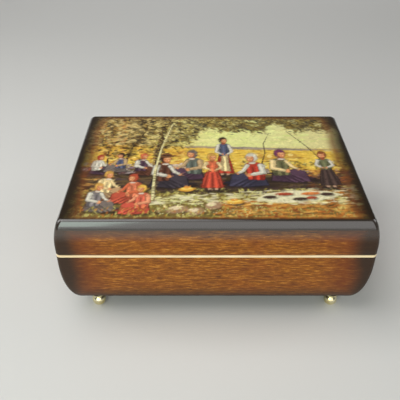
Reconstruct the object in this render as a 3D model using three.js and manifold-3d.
// Musical jewellery box: a bowed wooden case with a hinged lid, a velvet tray,
// and a pinned-cylinder movement under glass. Millimetres, +Z up, front facing -Y.
import * as THREE from "three";
import { mergeVertices } from "three/addons/utils/BufferGeometryUtils.js";
import Module from "manifold-3d";

const wasm = await Module();
wasm.setup();

// ---------- Driving dimensions ----------
const CASE_WIDTH = 235; // at the widest line of the bowed walls
const CASE_DEPTH = 167;
const CASE_HEIGHT = 81; // underside of the bottom panel to the top of the lid
const FOOT_HEIGHT = 13;
const WALL = 14; // wall thickness at the opening
const CORNER_RADIUS = 3.5; // corners in plan
const JOINT_GAP = 0.15; // each side of a mitre
const RUN_GAP = 0.12; // radial clearance of a turning shaft
const FIT_GAP = 0.3; // between a piece and the recess cut for it

// Bowed outline: how the walls turn in to the bottom and to the lid's flat top.
const BASE_CURVE_HEIGHT = 42;
const BASE_CURVE_INSET = 12;
const LID_CURVE_START = 57;
const LID_CURVE_INSET = 6.6;

// Heights in the case, from the underside of the bottom panel.
const BOTTOM_TOP = 8;
const INLAY_BOTTOM = 50.2;
const SEAM = 52; // top of the inlay
const LID_BOTTOM = 52.4;
const TOP_PANEL_BOTTOM = 74;

// Interior: a movement bay behind a divider, a jewellery tray in front of it.
const INNER_X = CASE_WIDTH / 2 - WALL;
const INNER_Y = CASE_DEPTH / 2 - WALL;
const DIVIDER_FRONT = -26;
const DIVIDER_BACK = -20;
const DIVIDER_TOP = 47.8;
const LINING = 1.5;
const TRAY_PAD = 3;
const LID_LINING = 2.5;
const GLASS_BOTTOM = 45;
const GLASS_THICKNESS = 2.2;
const LEDGE_WIDTH = 5;
const STRIP_LEFT = 84; // inner edge of the control strip
const STRIP_BOTTOM = 39;
const STRIP_REBATE = 4.5; // how far the glass laps over the strip

// Feet and hinges.
const FOOT_X = 94;
const FOOT_Y = 68;
const FOOT_NAMES = ["front_left", "front_right", "back_left", "back_right"];
const FOOT_SPOTS = [[-FOOT_X, -FOOT_Y], [FOOT_X, -FOOT_Y], [-FOOT_X, FOOT_Y], [FOOT_X, FOOT_Y]];
const FOOT_SHANK = 1.1;
const BALL_RADIUS = 5.3;
const FLANGE_RADIUS = 6;
const HINGE_X = 62;
const HINGE_LENGTH = 30;
const KNUCKLE_RADIUS = 2;
const PIN_RADIUS = 1;
const LEAF_THICKNESS = 1.5;
const LEAF_REACH = 11.5; // how far a leaf runs in over the wall
const OPEN_ANGLE = 100; // degrees, where the two tails of a stop hinge meet
const TAIL_ANGLE = THREE.MathUtils.degToRad(OPEN_ANGLE / 2 + 0.3);
const TAIL_REACH = 6.5;
const HINGE_Y = CASE_DEPTH / 2 + KNUCKLE_RADIUS + 0.1;
const HINGE_Z = (SEAM + LID_BOTTOM) / 2;

// Movement: bedplate, cylinder line, comb, barrel and governor.
const BED_BOTTOM = 12;
const BED_TOP = 16;
const BED_LEFT = -84;
const BED_RIGHT = 82;
const BED_FRONT = -16;
const BED_BACK = 66;
const AXIS_Y = 38; // cylinder axis
const AXIS_Z = 30;
const CYLINDER_RADIUS = 10;
const CYLINDER_LEFT = -36;
const CYLINDER_RIGHT = 48;
const ARBOR_RADIUS = 1.5;
const COMB_TEETH = 72;
const COMB_LEFT = -34;
const COMB_WIDTH = 80;
const COMB_THICKNESS = 2.2;
const COMB_FRONT = -4;
const COMB_TIP_GAP = 0.35; // tooth tips to the bare cylinder
const COMB_SLOT = 0.36;
const LONGEST_TOOTH = 20;
const SHORTEST_TOOTH = 14;

const BARREL_X = -58;
const BARREL_TEETH = 48;
const BARREL_RADIUS = 20.9;
const CROWN_MODULE = 0.8;
const CROWN_PITCH_RADIUS = (BARREL_TEETH * CROWN_MODULE) / 2;
const PINION_TEETH = 10;
const CROWN_WIDTH = 2.6;
const CROWN_TIP = AXIS_Z - (PINION_TEETH * CROWN_MODULE) / 2 + 0.7;
const DRUM_TOP = CROWN_TIP - 1.9;
const DRUM_BOTTOM = 17.2;
const BRIDGE_BOTTOM = AXIS_Z - 2.2;
const BRIDGE_TOP = AXIS_Z + 2.2;
const WINDER_RADIUS = 2.2;
const RATCHET_TEETH = 24;
const RATCHET_RADIUS = 8;
const RATCHET_DEPTH = 1.2;
const PAWL_BOTTOM = BRIDGE_TOP + 0.5;
const PAWL_TOP = BRIDGE_TOP + 2.3;
const CLICK_X = 7.5; // click pivot from the barrel's centre
const CLICK_Y = 9.2;
const KEY_BOTTOM = -9;
const KEY_HALF_WIDTH = 13;
const KEY_HOLE_RADIUS = 6;

const TRAIN_MODULE = 0.5;
const GREAT_TEETH = 50;
const SECOND_TEETH = 40;
const SMALL_TEETH = 10; // pinions of the second and third shafts
const WORM_WHEEL_TEETH = 24;
const WORM_STARTS = 4;
const WORM_PITCH_RADIUS = 2;
const WORM_LENGTH = 9;
const GREAT_X = 50;
const SECOND_WHEEL_X = 56.5;
const WORM_WHEEL_X = 61;
const WHEEL_WIDTH = 1.5;
const SECOND_Y = AXIS_Y - ((GREAT_TEETH + SMALL_TEETH) * TRAIN_MODULE) / 2;
const THIRD_Y = SECOND_Y - ((SECOND_TEETH + SMALL_TEETH) * TRAIN_MODULE) / 2;
const WORM_WHEEL_RADIUS = (WORM_WHEEL_TEETH * TRAIN_MODULE) / 2;
const WORM_X = WORM_WHEEL_X + WHEEL_WIDTH / 2;
const WORM_Y = THIRD_Y - WORM_WHEEL_RADIUS - WORM_PITCH_RADIUS;
const PLATE = 1.5; // governor plates
const INNER_PLATE_X = 53.5;
const OUTER_PLATE_X = 66;
const COLLAR_RADIUS = 2.5;
const LEVER_PIVOT_X = 78;
const LEVER_PIVOT_Y = WORM_Y - COLLAR_RADIUS - 1.4;
const LEVER_BOTTOM = 20.8;
const LEVER_TOP = 22.6;
const KNOB_X = 95;
const COCK_TOP = 44.2; // bracket over the worm spindle
const FAN_BOTTOM = 37.2;
const FAN_TOP = 41.8;
const FAN_RADIUS = 7;
const SPINDLE_RADIUS = 0.8;
const TRAIN_SHAFT_RADIUS = 0.9;

// Screws that hold the movement from under the case.
const SCREW_SPOTS = [[-78, -10], [76, -10], [-78, 60], [76, 60]];
const SCREW_HEAD_RADIUS = 3.2;
const SCREW_HEAD_HEIGHT = 2;
const SCREW_RADIUS = 1.3;

// How finely round shapes are divided.
const COARSE = 10;
const MEDIUM = 16;
const FINE = 28;
const CORNER_STEPS = 3;

// ---------- Materials ----------
const material = (color, roughness, metalness) =>
  new THREE.MeshStandardMaterial({ color, roughness, metalness });
const walnut = material(0x8a4f22, 0.25, 0);
const darkWood = material(0x3a2214, 0.35, 0);
const pictureWood = material(0xa08a4a, 0.2, 0);
const maple = material(0xf2e3c4, 0.4, 0);
const brass = material(0xc9a24a, 0.3, 1);
const steel = material(0xb8bcc0, 0.3, 1);
const blueSteel = material(0x3b4a63, 0.35, 1);
const velvet = material(0x6e1526, 0.95, 0);
const clearGlass = new THREE.MeshStandardMaterial({
  color: 0xe8f2f0,
  roughness: 0.05,
  transparent: true,
  opacity: 0.3,
});

// ---------- Solid helpers ----------
function solidOf(geometry) {
  const bare = geometry.index ? geometry.toNonIndexed() : geometry.clone();
  bare.deleteAttribute("normal");
  bare.deleteAttribute("uv");
  const merged = mergeVertices(bare, 1e-4);
  return new wasm.Manifold(
    new wasm.Mesh({
      numProp: 3,
      vertProperties: merged.attributes.position.array,
      triVerts: new Uint32Array(merged.index.array),
    }),
  );
}

function geometryOf(solid) {
  const mesh = solid.getMesh();
  const geometry = new THREE.BufferGeometry();
  geometry.setAttribute("position", new THREE.BufferAttribute(mesh.vertProperties, 3));
  geometry.setIndex(new THREE.BufferAttribute(mesh.triVerts, 1));
  return geometry;
}

const join = (first, ...others) =>
  geometryOf(others.reduce((sum, g) => sum.add(solidOf(g)), solidOf(first)));
const cut = (body, ...tools) =>
  geometryOf(tools.reduce((left, g) => left.subtract(solidOf(g)), solidOf(body)));

// Axis-aligned box given by its two corners.
function block([x0, y0, z0], [x1, y1, z1]) {
  const box = new THREE.BoxGeometry(x1 - x0, y1 - y0, z1 - z0);
  return box.translate((x0 + x1) / 2, (y0 + y1) / 2, (z0 + z1) / 2);
}

// Round bars along Z and along X.
function barZ(radius, x, y, z0, z1, sides = MEDIUM) {
  const bar = new THREE.CylinderGeometry(radius, radius, z1 - z0, sides);
  return bar.rotateX(Math.PI / 2).translate(x, y, (z0 + z1) / 2);
}

function barX(radius, x0, x1, y, z, sides = MEDIUM) {
  const bar = new THREE.CylinderGeometry(radius, radius, x1 - x0, sides);
  return bar.rotateZ(Math.PI / 2).translate((x0 + x1) / 2, y, z);
}

// Turned solid about Z from [radius, z] pairs that run from the axis back to it.
function turned(profile, sides = MEDIUM) {
  const points = profile.map(([radius, z]) => new THREE.Vector2(radius, z));
  return new THREE.LatheGeometry(points, sides).rotateX(Math.PI / 2);
}

// Closed solid skinned over equal-length vertex loops, with flat end caps.
function loft(loops) {
  const faces = [];
  for (let i = 0; i + 1 < loops.length; i++) {
    for (let j = 0; j < loops[i].length; j++) {
      const k = (j + 1) % loops[i].length;
      faces.push([loops[i][j], loops[i][k], loops[i + 1][k]]);
      faces.push([loops[i][j], loops[i + 1][k], loops[i + 1][j]]);
    }
  }
  faces.push(...cap(loops[0], -1), ...cap(loops[loops.length - 1], 1));
  const volume = faces.reduce((sum, [a, b, c]) => sum + a.dot(b.clone().cross(c)), 0);
  const corners = faces.flatMap(([a, b, c]) => (volume > 0 ? [a, b, c] : [a, c, b]));
  return new THREE.BufferGeometry().setFromPoints(corners);
}

// Triangles filling a flat loop, facing along (side 1) or against (side -1) its winding.
function cap(loop, side) {
  const normal = new THREE.Vector3();
  loop.forEach((p, j) => normal.add(p.clone().cross(loop[(j + 1) % loop.length])));
  const size = normal.toArray().map(Math.abs);
  const dropped = size.indexOf(Math.max(...size));
  const flatten = (p) => new THREE.Vector2(...p.toArray().filter((_, axis) => axis !== dropped));
  return THREE.ShapeUtils.triangulateShape(loop.map(flatten), []).map((face) => {
    const [a, b, c] = face.map((index) => loop[index]);
    const facing = b.clone().sub(a).cross(c.clone().sub(a)).dot(normal);
    return facing * side > 0 ? [a, b, c] : [a, c, b];
  });
}

// Plate with an outline in plan and a thickness along Z.
function plate(points, z0, z1) {
  const shape = new THREE.Shape(points.map(([x, y]) => new THREE.Vector2(x, y)));
  const solid = new THREE.ExtrudeGeometry(shape, { depth: z1 - z0, bevelEnabled: false });
  return solid.translate(0, 0, z0);
}

// Toothed disc on Z from z = 0 to width, with a tooth centred on +X halfway up.
// A twist (in radians over the width) makes a helical wheel or, with few teeth, a worm.
function toothedDisc(teeth, module, width, options = {}) {
  const { twist = 0, layers = 1, tipShare = 0.2, rootShare = 0.42 } = options;
  const pitchRadius = options.pitchRadius ?? (teeth * module) / 2;
  const tipRadius = pitchRadius + 0.85 * module;
  const rootRadius = pitchRadius - 1.2 * module;
  const step = (2 * Math.PI) / teeth;
  const corners = [
    [rootRadius, -rootShare],
    [tipRadius, -tipShare],
    [tipRadius, tipShare],
    [rootRadius, rootShare],
  ];
  const loops = [];
  for (let layer = 0; layer <= layers; layer++) {
    const loop = [];
    for (let tooth = 0; tooth < teeth; tooth++) {
      for (const [radius, share] of corners) {
        const angle = step * (tooth + share / 2) + twist * (layer / layers - 0.5);
        const x = radius * Math.cos(angle);
        const y = radius * Math.sin(angle);
        loop.push(new THREE.Vector3(x, y, (width * layer) / layers));
      }
    }
    loops.push(loop);
  }
  return loft(loops);
}

// Puts a wheel made about Z on a shaft along X: its first tooth points to +Y, plus a turn.
function onShaft(wheel, x, y, turn = 0) {
  return wheel.rotateY(Math.PI / 2).rotateX(Math.PI / 2 + turn).translate(x, y, AXIS_Z);
}

function mesh(name, geometry, finish) {
  const made = new THREE.Mesh(geometry, finish);
  made.name = name;
  return made;
}

function group(...members) {
  const made = new THREE.Group();
  made.add(...members);
  return made;
}

// ---------- Bowed case ----------
// How far the surface stands in from the widest outline at height z.
function inset(z) {
  const bow = (depth, share) => depth * (1 - Math.sqrt(Math.max(0, 1 - share * share)));
  if (z < BASE_CURVE_HEIGHT) {
    return bow(BASE_CURVE_INSET, (BASE_CURVE_HEIGHT - z) / BASE_CURVE_HEIGHT);
  }
  if (z > LID_CURVE_START) {
    return bow(LID_CURVE_INSET, (z - LID_CURVE_START) / (CASE_HEIGHT - LID_CURVE_START));
  }
  return 0;
}

// Heights between two levels, closer together towards the end that curves more.
function levels(from, to, count) {
  const made = [];
  for (let step = 0; step <= count; step++) {
    made.push(from + (to - from) * Math.sin(((step / count) * Math.PI) / 2));
  }
  return made;
}

// Horizontal slice of the bowed outline.
function slice(z) {
  const x = CASE_WIDTH / 2 - inset(z) - CORNER_RADIUS;
  const y = CASE_DEPTH / 2 - inset(z) - CORNER_RADIUS;
  const centres = [[x, y], [-x, y], [-x, -y], [x, -y]];
  const loop = [];
  centres.forEach(([cx, cy], quarter) => {
    for (let step = 0; step <= 2 * CORNER_STEPS; step++) {
      const angle = (quarter + step / (2 * CORNER_STEPS)) * (Math.PI / 2);
      const px = cx + CORNER_RADIUS * Math.cos(angle);
      const py = cy + CORNER_RADIUS * Math.sin(angle);
      loop.push(new THREE.Vector3(px, py, z));
    }
  });
  return loop;
}

// One wall between mitres, its outer face towards -Y; length is the case's size along the wall.
function wall(length, across, heights) {
  const inner = [heights[heights.length - 1], heights[0]];
  const station = (side, step) => {
    const angle = (side * (Math.PI / 4) * (CORNER_STEPS - step)) / CORNER_STEPS - Math.PI / 2;
    const outerPoint = (z) => {
      const centreX = length / 2 - inset(z) - CORNER_RADIUS - JOINT_GAP;
      const centreY = across / 2 - inset(z) - CORNER_RADIUS;
      const x = side * centreX + CORNER_RADIUS * Math.cos(angle);
      return new THREE.Vector3(x, -centreY + CORNER_RADIUS * Math.sin(angle), z);
    };
    const innerX = side * (length / 2 - WALL - JOINT_GAP - step);
    const innerPoint = (z) => new THREE.Vector3(innerX, WALL - across / 2, z);
    return [...heights.map(outerPoint), ...inner.map(innerPoint)];
  };
  const steps = Array.from({ length: CORNER_STEPS + 1 }, (_, step) => step);
  const leftEnd = steps.map((step) => station(-1, step));
  const rightEnd = steps.map((step) => station(1, step)).reverse();
  return loft([...leftEnd, ...rightEnd]);
}

function fourWalls(part, heights, finish) {
  const front = wall(CASE_WIDTH, CASE_DEPTH, heights);
  const left = wall(CASE_DEPTH, CASE_WIDTH, heights).rotateZ(-Math.PI / 2);
  return {
    front: mesh(part("front"), front, finish),
    back: mesh(part("back"), front.clone().rotateZ(Math.PI), finish),
    left: mesh(part("left"), left, finish),
    right: mesh(part("right"), left.clone().rotateZ(Math.PI), finish),
  };
}

// Recess through the back edge for the hinge leaves, between two heights.
function hingeRecess(centre, z0, z1) {
  const half = HINGE_LENGTH / 2 + FIT_GAP;
  const inner = CASE_DEPTH / 2 - LEAF_REACH - FIT_GAP;
  return block([centre - half, inner, z0], [centre + half, CASE_DEPTH / 2 + 1, z1]);
}

function bottomPanel() {
  const heights = [0, 0.6, 2.5, BOTTOM_TOP];
  const keyHole = barZ(KEY_HOLE_RADIUS, BARREL_X, AXIS_Y, -1, BOTTOM_TOP + 1, FINE);
  const holes = SCREW_SPOTS.flatMap(([x, y]) => [
    barZ(SCREW_RADIUS + FIT_GAP, x, y, -1, BOTTOM_TOP + 1, COARSE),
    barZ(SCREW_HEAD_RADIUS + FIT_GAP, x, y, -1, SCREW_HEAD_HEIGHT + 1, COARSE),
  ]);
  const pilots = FOOT_SPOTS.map(([x, y]) => barZ(FOOT_SHANK + FIT_GAP, x, y, -1, 6.5, COARSE));
  return mesh("bottom_panel", cut(loft(heights.map(slice)), keyHole, ...holes, ...pilots), darkWood);
}

// Brass ball foot with its flange, neck and the shank that holds it.
function foot(name, [x, y]) {
  const sole = -FOOT_HEIGHT;
  const profile = [
    [0, sole],
    [2.4, sole],
    [4.4, sole + 1.7],
    [BALL_RADIUS, sole + 4.7],
    [4.5, sole + 7.6],
    [2.9, sole + 9.5],
    [FLANGE_RADIUS - 1, sole + 10.6],
    [FLANGE_RADIUS, sole + 11.2],
    [FLANGE_RADIUS, 0],
    [FOOT_SHANK, 0],
    [FOOT_SHANK, 6],
    [0, 6],
  ];
  return mesh(name, turned(profile).translate(x, y, 0), brass);
}

function seamInlay() {
  const ring = loft([slice(INLAY_BOTTOM), slice(SEAM)]);
  const mouth = block([-INNER_X, -INNER_Y, INLAY_BOTTOM - 1], [INNER_X, INNER_Y, SEAM + 1]);
  const recesses = [-HINGE_X, HINGE_X].map((x) => hingeRecess(x, INLAY_BOTTOM - 1, SEAM + 1));
  return mesh("seam_inlay", cut(ring, mouth, ...recesses), maple);
}

function caseBase() {
  const curved = levels(BASE_CURVE_HEIGHT, BOTTOM_TOP, 4).reverse();
  const walls = fourWalls((side) => `base_${side}_wall`, [...curved, INLAY_BOTTOM], walnut);
  const feet = FOOT_SPOTS.map((spot, index) => foot(`foot_${FOOT_NAMES[index]}`, spot));
  return group(bottomPanel(), ...Object.values(walls), seamInlay(), ...feet);
}

function caseLid() {
  const curved = levels(LID_CURVE_START, TOP_PANEL_BOTTOM, 3);
  const rails = fourWalls((side) => `lid_${side}_rail`, [LID_BOTTOM, ...curved], walnut);
  const leafTop = LID_BOTTOM + LEAF_THICKNESS + FIT_GAP;
  const recesses = [-HINGE_X, HINGE_X].map((x) => hingeRecess(x, LID_BOTTOM - 1, leafTop));
  rails.back.geometry = cut(rails.back.geometry, ...recesses);
  const panelHeights = levels(TOP_PANEL_BOTTOM, CASE_HEIGHT, 4);
  const lining = block(
    [-INNER_X + 1, -INNER_Y + 1, TOP_PANEL_BOTTOM - LID_LINING],
    [INNER_X - 1, INNER_Y - 1, TOP_PANEL_BOTTOM],
  );
  return group(
    ...Object.values(rails),
    mesh("lid_top_panel", loft(panelHeights.map(slice)), pictureWood),
    mesh("lid_lining", lining, velvet),
  );
}

// ---------- Stop hinges ----------
// Three knuckles on one pin: the base leaf holds the outer two and the lid leaf the middle
// one. Each leaf has a tail, and the tails meet when the lid is fully open.
function hinge(side, centre) {
  const left = centre - HINGE_LENGTH / 2;
  const right = centre + HINGE_LENGTH / 2;
  const barrel = (radius, x0, x1, sides = MEDIUM) => barX(radius, x0, x1, HINGE_Y, HINGE_Z, sides);
  const knuckle = (index, radius, gap) => {
    const third = HINGE_LENGTH / 3;
    return barrel(radius, left + index * third + gap, left + (index + 1) * third - gap);
  };
  const leaf = (own, others, sign, edge) => {
    const outer = edge + sign * LEAF_THICKNESS;
    const sheet = block(
      [left, CASE_DEPTH / 2 - LEAF_REACH, Math.min(edge, outer)],
      [right, HINGE_Y, Math.max(edge, outer)],
    );
    const tail = block([left, 1.2, Math.min(0, sign)], [right, TAIL_REACH, Math.max(0, sign)]);
    tail.rotateX(sign * TAIL_ANGLE).translate(0, HINGE_Y, HINGE_Z);
    const rooms = others.map((index) => knuckle(index, KNUCKLE_RADIUS + FIT_GAP, -JOINT_GAP));
    const knuckles = own.map((index) => knuckle(index, KNUCKLE_RADIUS, JOINT_GAP));
    const bore = barrel(PIN_RADIUS + RUN_GAP, left - 1, right + 1, COARSE);
    return cut(join(cut(join(sheet, tail), ...rooms), ...knuckles), bore);
  };
  const pin = join(
    barrel(PIN_RADIUS, left - 0.4, right + 0.4, COARSE),
    barrel(KNUCKLE_RADIUS - 0.3, left - 1.1, left - 0.3),
    barrel(KNUCKLE_RADIUS - 0.3, right + 0.3, right + 1.1),
  );
  return group(
    mesh(`hinge_${side}_base_leaf`, leaf([0, 2], [1], -1, SEAM), brass),
    mesh(`hinge_${side}_lid_leaf`, leaf([1], [0, 2], 1, LID_BOTTOM), brass),
    mesh(`hinge_${side}_pin`, pin, brass),
  );
}

// ---------- Interior fittings ----------
function movementBay() {
  const slack = 0.2;
  const stepX = STRIP_LEFT + STRIP_REBATE;
  const divider = block([-INNER_X, DIVIDER_FRONT, BOTTOM_TOP], [INNER_X, DIVIDER_BACK, DIVIDER_TOP]);
  const ledge = block(
    [-INNER_X, DIVIDER_BACK, GLASS_BOTTOM - 8],
    [-INNER_X + LEDGE_WIDTH, INNER_Y, GLASS_BOTTOM],
  );
  const strip = cut(
    block([STRIP_LEFT, DIVIDER_BACK, STRIP_BOTTOM], [INNER_X, INNER_Y, DIVIDER_TOP]),
    block([STRIP_LEFT - 1, DIVIDER_BACK - 1, GLASS_BOTTOM], [stepX, INNER_Y + 1, DIVIDER_TOP + 1]),
    block(
      [KNOB_X - 2.6, LEVER_PIVOT_Y - 2.2, STRIP_BOTTOM - 1],
      [KNOB_X + 1.8, LEVER_PIVOT_Y + 6, DIVIDER_TOP + 1],
    ),
  );
  const glass = block(
    [-INNER_X + slack, DIVIDER_BACK + slack, GLASS_BOTTOM],
    [stepX - slack, INNER_Y - slack, GLASS_BOTTOM + GLASS_THICKNESS],
  );
  return group(
    mesh("bay_divider", divider, darkWood),
    mesh("glass_ledge", ledge, darkWood),
    mesh("control_strip", strip, darkWood),
    mesh("glass_pane", glass, clearGlass),
  );
}

// Velvet floor pad and four linings of the jewellery tray.
function tray() {
  const padTop = BOTTOM_TOP + TRAY_PAD;
  const along = (y) => block([-INNER_X, y, padTop], [INNER_X, y + LINING, DIVIDER_TOP]);
  const end = (x) => {
    const inside = DIVIDER_FRONT - LINING;
    return block([x, -INNER_Y + LINING, padTop], [x + LINING, inside, DIVIDER_TOP]);
  };
  const pad = block([-INNER_X, -INNER_Y, BOTTOM_TOP], [INNER_X, DIVIDER_FRONT, padTop]);
  return group(
    mesh("tray_floor_pad", pad, velvet),
    mesh("tray_front_lining", along(-INNER_Y), velvet),
    mesh("tray_back_lining", along(DIVIDER_FRONT - LINING), velvet),
    mesh("tray_left_lining", end(-INNER_X), velvet),
    mesh("tray_right_lining", end(INNER_X - LINING), velvet),
  );
}

// ---------- Movement: fixed pieces ----------
function bedplate() {
  const sheet = block([BED_LEFT, BED_FRONT, BED_BOTTOM], [BED_RIGHT, BED_BACK, BED_TOP]);
  const bosses = SCREW_SPOTS.map(([x, y]) => barZ(4, x, y, BOTTOM_TOP, BED_BOTTOM + 1));
  const tapped = SCREW_SPOTS.map(([x, y]) =>
    barZ(SCREW_RADIUS + FIT_GAP, x, y, BOTTOM_TOP - 1, BED_TOP - 1.5, COARSE),
  );
  const winderHole = barZ(WINDER_RADIUS + 0.8, BARREL_X, AXIS_Y, BED_BOTTOM - 1, BED_TOP + 1);
  return mesh("bedplate", cut(join(sheet, ...bosses), ...tapped, winderHole), brass);
}

function movementScrews() {
  const under = 0.7; // head below the panel's face
  const shoulder = under + SCREW_HEAD_HEIGHT;
  const profile = [
    [0, under],
    [SCREW_HEAD_RADIUS, under],
    [SCREW_HEAD_RADIUS, shoulder],
    [SCREW_RADIUS, shoulder],
    [SCREW_RADIUS, BED_TOP - 2],
    [0, BED_TOP - 2],
  ];
  const slot = block([-SCREW_HEAD_RADIUS - 1, -0.4, 0], [SCREW_HEAD_RADIUS + 1, 0.4, 1.5]);
  return SCREW_SPOTS.map(([x, y], index) => {
    const screw = cut(turned(profile, COARSE), slot).translate(x, y, 0);
    return mesh(`movement_screw_${index + 1}`, screw, steel);
  });
}

// Steel comb: the teeth share one tip line, and the slots run deeper on the bass side.
function comb() {
  const tipY = AXIS_Y - CYLINDER_RADIUS - COMB_TIP_GAP;
  const pitch = COMB_WIDTH / COMB_TEETH;
  const right = COMB_LEFT + COMB_WIDTH;
  const bottom = AXIS_Z - COMB_THICKNESS / 2;
  const outline = [[COMB_LEFT, COMB_FRONT], [right, COMB_FRONT], [right, tipY]];
  for (let gap = COMB_TEETH - 1; gap > 0; gap--) {
    const x0 = COMB_LEFT + gap * pitch - COMB_SLOT / 2;
    const x1 = x0 + COMB_SLOT;
    const rootY = tipY - LONGEST_TOOTH + ((LONGEST_TOOTH - SHORTEST_TOOTH) * gap) / COMB_TEETH;
    outline.push([x1, tipY], [x1, rootY], [x0, rootY], [x0, tipY]);
  }
  outline.push([COMB_LEFT, tipY]);
  const seat = block([COMB_LEFT, COMB_FRONT, BED_TOP], [right, COMB_FRONT + 10, bottom]);
  return group(
    mesh("comb", plate(outline, bottom, bottom + COMB_THICKNESS), steel),
    mesh("comb_base", seat, brass),
  );
}

// Bridge over the barrel; it carries the winding arbor and the cylinder's left end.
function barrelBridge() {
  const left = BARREL_X - 10;
  const right = BARREL_X + 12;
  const reach = BARREL_RADIUS + 6;
  const leg = (y) => block([left, y, BED_TOP], [right, y + 5, BRIDGE_BOTTOM + 1]);
  const body = join(
    block([left, AXIS_Y - reach, BRIDGE_BOTTOM], [right, AXIS_Y + reach, BRIDGE_TOP]),
    leg(AXIS_Y - reach),
    leg(AXIS_Y + reach - 5),
  );
  const winderBore = barZ(WINDER_RADIUS + RUN_GAP, BARREL_X, AXIS_Y, BRIDGE_BOTTOM - 1, BRIDGE_TOP + 1);
  const arborBore = barX(ARBOR_RADIUS + RUN_GAP, BARREL_X + 4.5, right + 1, AXIS_Y, AXIS_Z);
  return mesh("barrel_bridge", cut(body, winderBore, arborBore), brass);
}

// Two plates on a common foot that carry the shafts between the cylinder and the worm.
function governorFrame() {
  const backY = AXIS_Y + 6;
  const frontY = THIRD_Y - 4.5;
  const shoulder = AXIS_Z + 5;
  const right = OUTER_PLATE_X + PLATE;
  const inner = join(
    block([INNER_PLATE_X, frontY, BED_TOP], [INNER_PLATE_X + PLATE, backY, shoulder]),
    block([INNER_PLATE_X, THIRD_Y + 4, BED_TOP], [INNER_PLATE_X + PLATE, backY, AXIS_Z + 9]),
  );
  const outer = block([OUTER_PLATE_X, frontY, BED_TOP], [right, SECOND_Y + 5, shoulder]);
  const base = block([INNER_PLATE_X, frontY + 1.5, BED_TOP], [right, backY, BED_TOP + 2.5]);
  const bore = (radius, y) => barX(radius + RUN_GAP, INNER_PLATE_X - 1, right + 1, y, AXIS_Z);
  const bores = [
    bore(ARBOR_RADIUS, AXIS_Y),
    bore(TRAIN_SHAFT_RADIUS, SECOND_Y),
    bore(TRAIN_SHAFT_RADIUS, THIRD_Y),
  ];
  return mesh("governor_frame", cut(join(inner, outer, base), ...bores), brass);
}

// C-shaped bracket that holds the worm spindle upright.
function wormCock() {
  const x0 = WORM_X - 3;
  const x1 = WORM_X + 3;
  const postFront = WORM_Y - 13.5;
  const armBack = WORM_Y + 2.5;
  const body = join(
    block([x0, postFront, BED_TOP], [x1, postFront + 3, COCK_TOP]),
    block([x0, postFront, BED_TOP], [x1, armBack, BED_TOP + 3]),
    block([x0, postFront, COCK_TOP - 1.7], [x1, armBack, COCK_TOP]),
  );
  const bore = barZ(SPINDLE_RADIUS + RUN_GAP, WORM_X, WORM_Y, BED_TOP + 1, COCK_TOP - 0.4, COARSE);
  return mesh("worm_cock", cut(body, bore), brass);
}

// ---------- Movement: turning pieces ----------
// Bored hole for the cylinder arbor, a fixed fit.
function arborHole(x0, x1) {
  return barX(ARBOR_RADIUS + FIT_GAP, x0, x1, AXIS_Y, AXIS_Z);
}

function cylinderLine() {
  const endWall = 1.6;
  const inside = CYLINDER_RADIUS - 1.4;
  const bore = ARBOR_RADIUS + FIT_GAP;
  const length = CYLINDER_RIGHT - CYLINDER_LEFT;
  const profile = [
    [bore, 0],
    [CYLINDER_RADIUS, 0],
    [CYLINDER_RADIUS, length],
    [bore, length],
    [bore, length - endWall],
    [inside, length - endWall],
    [inside, endWall],
    [bore, endWall],
    [bore, 0],
  ];
  const drum = turned(profile, FINE).rotateY(Math.PI / 2).translate(CYLINDER_LEFT, AXIS_Y, AXIS_Z);
  const arbor = barX(ARBOR_RADIUS, BARREL_X + 5, INNER_PLATE_X + PLATE + 0.4, AXIS_Y, AXIS_Z);
  const pinionX = BARREL_X + CROWN_PITCH_RADIUS - CROWN_WIDTH / 2;
  const pinion = onShaft(toothedDisc(PINION_TEETH, CROWN_MODULE, CROWN_WIDTH), pinionX, AXIS_Y);
  const wheel = onShaft(toothedDisc(GREAT_TEETH, TRAIN_MODULE, WHEEL_WIDTH), GREAT_X, AXIS_Y);
  const hub = barX(3.4, GREAT_X - 1.4, GREAT_X + WHEEL_WIDTH + 0.6, AXIS_Y, AXIS_Z);
  return group(
    mesh("cylinder", drum, brass),
    mesh("cylinder_arbor", arbor, steel),
    mesh("cylinder_pinion", cut(pinion, arborHole(pinionX - 1, pinionX + CROWN_WIDTH + 1)), steel),
    mesh("great_wheel", cut(join(wheel, hub), arborHole(GREAT_X - 3, GREAT_X + 4)), brass),
  );
}

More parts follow.
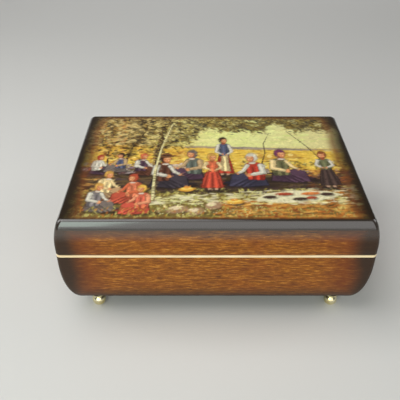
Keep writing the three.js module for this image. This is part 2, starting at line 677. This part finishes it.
// Drum with a toothed crown on its top edge, closed from below by a cover.
function springBarrel() {
  const bore = WINDER_RADIUS + 0.4;
  const wallIn = BARREL_RADIUS - 1.3;
  const roof = DRUM_TOP - 1.4;
  const drum = turned(
    [
      [bore, DRUM_TOP],
      [bore, roof],
      [wallIn, roof],
      [wallIn, DRUM_BOTTOM],
      [BARREL_RADIUS, DRUM_BOTTOM],
      [BARREL_RADIUS, DRUM_TOP],
      [bore, DRUM_TOP],
    ],
    2 * MEDIUM,
  );
  const section = [
    [-0.5, DRUM_TOP - 0.5],
    [0.5, DRUM_TOP - 0.5],
    [0.26, CROWN_TIP],
    [-0.26, CROWN_TIP],
  ];
  const crown = [];
  for (let tooth = 0; tooth < BARREL_TEETH; tooth++) {
    const ends = [CROWN_PITCH_RADIUS - CROWN_WIDTH / 2 - 0.2, BARREL_RADIUS - 0.2];
    const loops = ends.map((radius) => section.map(([y, z]) => new THREE.Vector3(radius, y, z)));
    crown.push(loft(loops).rotateZ((tooth * 2 * Math.PI) / BARREL_TEETH));
  }
  const floor = DRUM_BOTTOM + 0.2;
  const cover = turned(
    [
      [bore, floor],
      [wallIn - FIT_GAP, floor],
      [wallIn - FIT_GAP, floor + 1.2],
      [bore, floor + 1.2],
      [bore, floor],
    ],
    FINE,
  );
  return group(
    mesh("spring_barrel", join(drum, ...crown).translate(BARREL_X, AXIS_Y, 0), brass),
    mesh("barrel_cover", cover.translate(BARREL_X, AXIS_Y, 0), brass),
    mesh("mainspring", mainspring(floor + 1.6, roof - 0.4), blueSteel),
  );
}

// Ribbon wound as a spiral between the winding hub and the barrel wall.
function mainspring(low, high) {
  const turns = 4;
  const stepsPerTurn = 14;
  const inner = 6;
  const outer = BARREL_RADIUS - 3;
  const ribbon = 0.6;
  const loops = [];
  for (let step = 0; step <= turns * stepsPerTurn; step++) {
    const share = step / (turns * stepsPerTurn);
    const radius = inner + (outer - inner) * share;
    const angle = share * turns * 2 * Math.PI;
    const corner = (r, z) => new THREE.Vector3(r * Math.cos(angle), r * Math.sin(angle), z);
    const far = radius + ribbon;
    loops.push([corner(radius, low), corner(radius, high), corner(far, high), corner(far, low)]);
  }
  return loft(loops).translate(BARREL_X, AXIS_Y, 0);
}

function winding() {
  const top = BRIDGE_TOP + 3.4;
  const hubBottom = DRUM_BOTTOM + 2;
  const hubTop = DRUM_TOP - 2;
  const arbor = turned([
    [0, KEY_BOTTOM + 2],
    [WINDER_RADIUS, KEY_BOTTOM + 2],
    [WINDER_RADIUS, hubBottom],
    [4, hubBottom],
    [4, hubTop],
    [WINDER_RADIUS, hubTop],
    [WINDER_RADIUS, top],
    [0, top],
  ]);
  const rootRadius = RATCHET_RADIUS - RATCHET_DEPTH;
  const saw = [];
  for (let tooth = 0; tooth < RATCHET_TEETH; tooth++) {
    const root = (tooth * 2 * Math.PI) / RATCHET_TEETH;
    const tip = ((tooth + 0.98) * 2 * Math.PI) / RATCHET_TEETH;
    saw.push([rootRadius * Math.cos(root), rootRadius * Math.sin(root)]);
    saw.push([RATCHET_RADIUS * Math.cos(tip), RATCHET_RADIUS * Math.sin(tip)]);
  }
  const fixedHole = (z0, z1) => barZ(WINDER_RADIUS + FIT_GAP, 0, 0, z0, z1);
  const ratchet = cut(plate(saw, PAWL_BOTTOM, PAWL_TOP), fixedHole(BRIDGE_TOP, top));
  const rim = new THREE.Shape();
  rim.moveTo(-KEY_HALF_WIDTH + 3, KEY_BOTTOM);
  rim.lineTo(KEY_HALF_WIDTH - 3, KEY_BOTTOM);
  rim.quadraticCurveTo(KEY_HALF_WIDTH, KEY_BOTTOM, KEY_HALF_WIDTH, KEY_BOTTOM + 3);
  rim.quadraticCurveTo(KEY_HALF_WIDTH, -1.6, KEY_HALF_WIDTH - 5, -1.6);
  rim.lineTo(-KEY_HALF_WIDTH + 5, -1.6);
  rim.quadraticCurveTo(-KEY_HALF_WIDTH, -1.6, -KEY_HALF_WIDTH, KEY_BOTTOM + 3);
  rim.quadraticCurveTo(-KEY_HALF_WIDTH, KEY_BOTTOM, -KEY_HALF_WIDTH + 3, KEY_BOTTOM);
  const wing = new THREE.ExtrudeGeometry(rim, { depth: 2.8, bevelEnabled: false, curveSegments: 4 });
  wing.translate(0, 0, -1.4).rotateX(Math.PI / 2);
  const key = cut(join(wing, barZ(3.8, 0, 0, KEY_BOTTOM + 0.6, 1.5)), fixedHole(KEY_BOTTOM + 1.7, 2));
  return group(
    mesh("winding_arbor", arbor.translate(BARREL_X, AXIS_Y, 0), steel),
    mesh("ratchet_wheel", ratchet.translate(BARREL_X, AXIS_Y, 0), steel),
    mesh("winding_key", key.rotateZ(Math.PI / 6).translate(BARREL_X, AXIS_Y, 0), brass),
  );
}

// Click that stands in a ratchet tooth, and the leaf spring that presses it there.
function click() {
  const arm = [
    [7, 0.15],
    [9, 0.15],
    [9.6, 4],
    [CLICK_X + 1.2, CLICK_Y],
    [CLICK_X - 0.8, CLICK_Y],
    [8.1, 2.4],
  ];
  const boss = barZ(1.9, CLICK_X, CLICK_Y, PAWL_BOTTOM, PAWL_TOP);
  const pawl = join(plate(arm, PAWL_BOTTOM, PAWL_TOP), boss);
  const leaf = plate([[9.35, 8], [9.75, 7.9], [10.9, 13], [10.3, 13.2]], PAWL_BOTTOM, PAWL_TOP);
  const post = block([8.8, 12.8, BRIDGE_TOP], [11.6, 15.4, PAWL_TOP]);
  return group(
    mesh("click", pawl.translate(BARREL_X, AXIS_Y, 0), steel),
    mesh("click_spring", join(leaf, post).translate(BARREL_X, AXIS_Y, 0), blueSteel),
  );
}

// A driven shaft along X with its pinion and its wheel; each pinion meets the wheel behind it.
function trainShaft(y, x0, pinionX, wheel) {
  const pinion = toothedDisc(SMALL_TEETH, TRAIN_MODULE, WHEEL_WIDTH + 0.4);
  return join(
    barX(TRAIN_SHAFT_RADIUS, x0, OUTER_PLATE_X + PLATE - 0.3, y, AXIS_Z, COARSE),
    onShaft(pinion, pinionX - 0.2, y, Math.PI / SMALL_TEETH),
    wheel,
  );
}

function governorTrain() {
  const secondDisc = toothedDisc(SECOND_TEETH, TRAIN_MODULE, WHEEL_WIDTH);
  const secondWheel = onShaft(secondDisc, SECOND_WHEEL_X, SECOND_Y);
  const wormLead = WORM_STARTS * Math.PI * TRAIN_MODULE;
  const wormDisc = toothedDisc(WORM_WHEEL_TEETH, TRAIN_MODULE, WHEEL_WIDTH, {
    twist: (wormLead * WHEEL_WIDTH) / (2 * Math.PI * WORM_PITCH_RADIUS * WORM_WHEEL_RADIUS),
    tipShare: 0.14,
    rootShare: 0.36,
  });
  const wormWheel = onShaft(wormDisc, WORM_WHEEL_X, THIRD_Y);
  const thread = toothedDisc(WORM_STARTS, TRAIN_MODULE, WORM_LENGTH, {
    pitchRadius: WORM_PITCH_RADIUS,
    twist: (WORM_LENGTH / wormLead) * 2 * Math.PI,
    layers: 16,
    tipShare: 0.14,
    rootShare: 0.36,
  });
  const spindle = join(
    thread.rotateZ(Math.PI / 4).translate(0, 0, AXIS_Z - WORM_LENGTH / 2),
    barZ(SPINDLE_RADIUS, 0, 0, BED_TOP + 1.5, COCK_TOP - 0.8, COARSE),
    barZ(COLLAR_RADIUS, 0, 0, LEVER_BOTTOM - 0.4, LEVER_TOP + 0.4),
  );
  const fan = cut(
    join(
      barZ(1.7, 0, 0, FAN_BOTTOM, FAN_TOP),
      block([-FAN_RADIUS, -0.3, FAN_BOTTOM], [FAN_RADIUS, 0.3, FAN_TOP]),
    ),
    barZ(SPINDLE_RADIUS + FIT_GAP, 0, 0, FAN_BOTTOM - 1, FAN_TOP + 1, COARSE),
  );
  return group(
    mesh("second_wheel", trainShaft(SECOND_Y, GREAT_X - 0.5, GREAT_X, secondWheel), brass),
    mesh("third_wheel", trainShaft(THIRD_Y, INNER_PLATE_X + 0.3, SECOND_WHEEL_X, wormWheel), brass),
    mesh("worm_spindle", spindle.translate(WORM_X, WORM_Y, 0), steel),
    mesh("air_fan", fan.translate(WORM_X, WORM_Y, 0), brass),
  );
}

// Start-stop lever: its finger brakes the spindle collar, its other arm carries the knob.
function startLever() {
  const fingerX = WORM_X - 1.5;
  const fingerY = WORM_Y - COLLAR_RADIUS - RUN_GAP;
  const outline = [
    [fingerX, fingerY],
    [LEVER_PIVOT_X, fingerY + 0.4],
    [KNOB_X, LEVER_PIVOT_Y + 1.2],
    [KNOB_X, LEVER_PIVOT_Y - 1.2],
    [LEVER_PIVOT_X, LEVER_PIVOT_Y - 1.8],
    [fingerX, fingerY - 1.8],
  ];
  const atPivot = (geometry) => geometry.translate(LEVER_PIVOT_X, LEVER_PIVOT_Y, 0);
  const stemTop = DIVIDER_TOP + 1.5;
  const lever = cut(
    join(
      plate(outline, LEVER_BOTTOM, LEVER_TOP),
      atPivot(barZ(3.2, 0, 0, LEVER_BOTTOM, LEVER_TOP)),
      barZ(1.2, KNOB_X, LEVER_PIVOT_Y, LEVER_BOTTOM, stemTop, COARSE),
    ),
    atPivot(barZ(1.5 + RUN_GAP, 0, 0, LEVER_BOTTOM - 1, LEVER_TOP + 1)),
  );
  const base = stemTop + FIT_GAP;
  const knob = turned([
    [0, base],
    [1.8, base],
    [3, base + 1.4],
    [3, base + 2.6],
    [2.2, base + 3.6],
    [0, base + 3.8],
  ]);
  const head = LEVER_TOP + 0.2;
  const screw = turned([
    [0, BED_TOP],
    [1.5, BED_TOP],
    [1.5, head],
    [2.8, head],
    [2.8, head + 1.4],
    [0, head + 1.4],
  ]);
  return group(
    mesh("start_lever", lever, steel),
    mesh("lever_knob", knob.translate(KNOB_X, LEVER_PIVOT_Y, 0), brass),
    mesh("lever_pivot", atPivot(screw), steel),
  );
}

// ---------- Assembly ----------
// The origin is at the feet's soles, under the centre of the whole outline, hinges included.
const hingeReach = HINGE_Y + TAIL_REACH * Math.cos(TAIL_ANGLE) + Math.sin(TAIL_ANGLE);
const box = group(
  caseBase(),
  caseLid(),
  hinge("left", -HINGE_X),
  hinge("right", HINGE_X),
  movementBay(),
  tray(),
  bedplate(),
  ...movementScrews(),
  comb(),
  barrelBridge(),
  governorFrame(),
  wormCock(),
  cylinderLine(),
  springBarrel(),
  winding(),
  click(),
  governorTrain(),
  startLever(),
);
box.position.set(0, (CASE_DEPTH / 2 - hingeReach) / 2, FOOT_HEIGHT);

const musicBox = group(box);
export default musicBox;
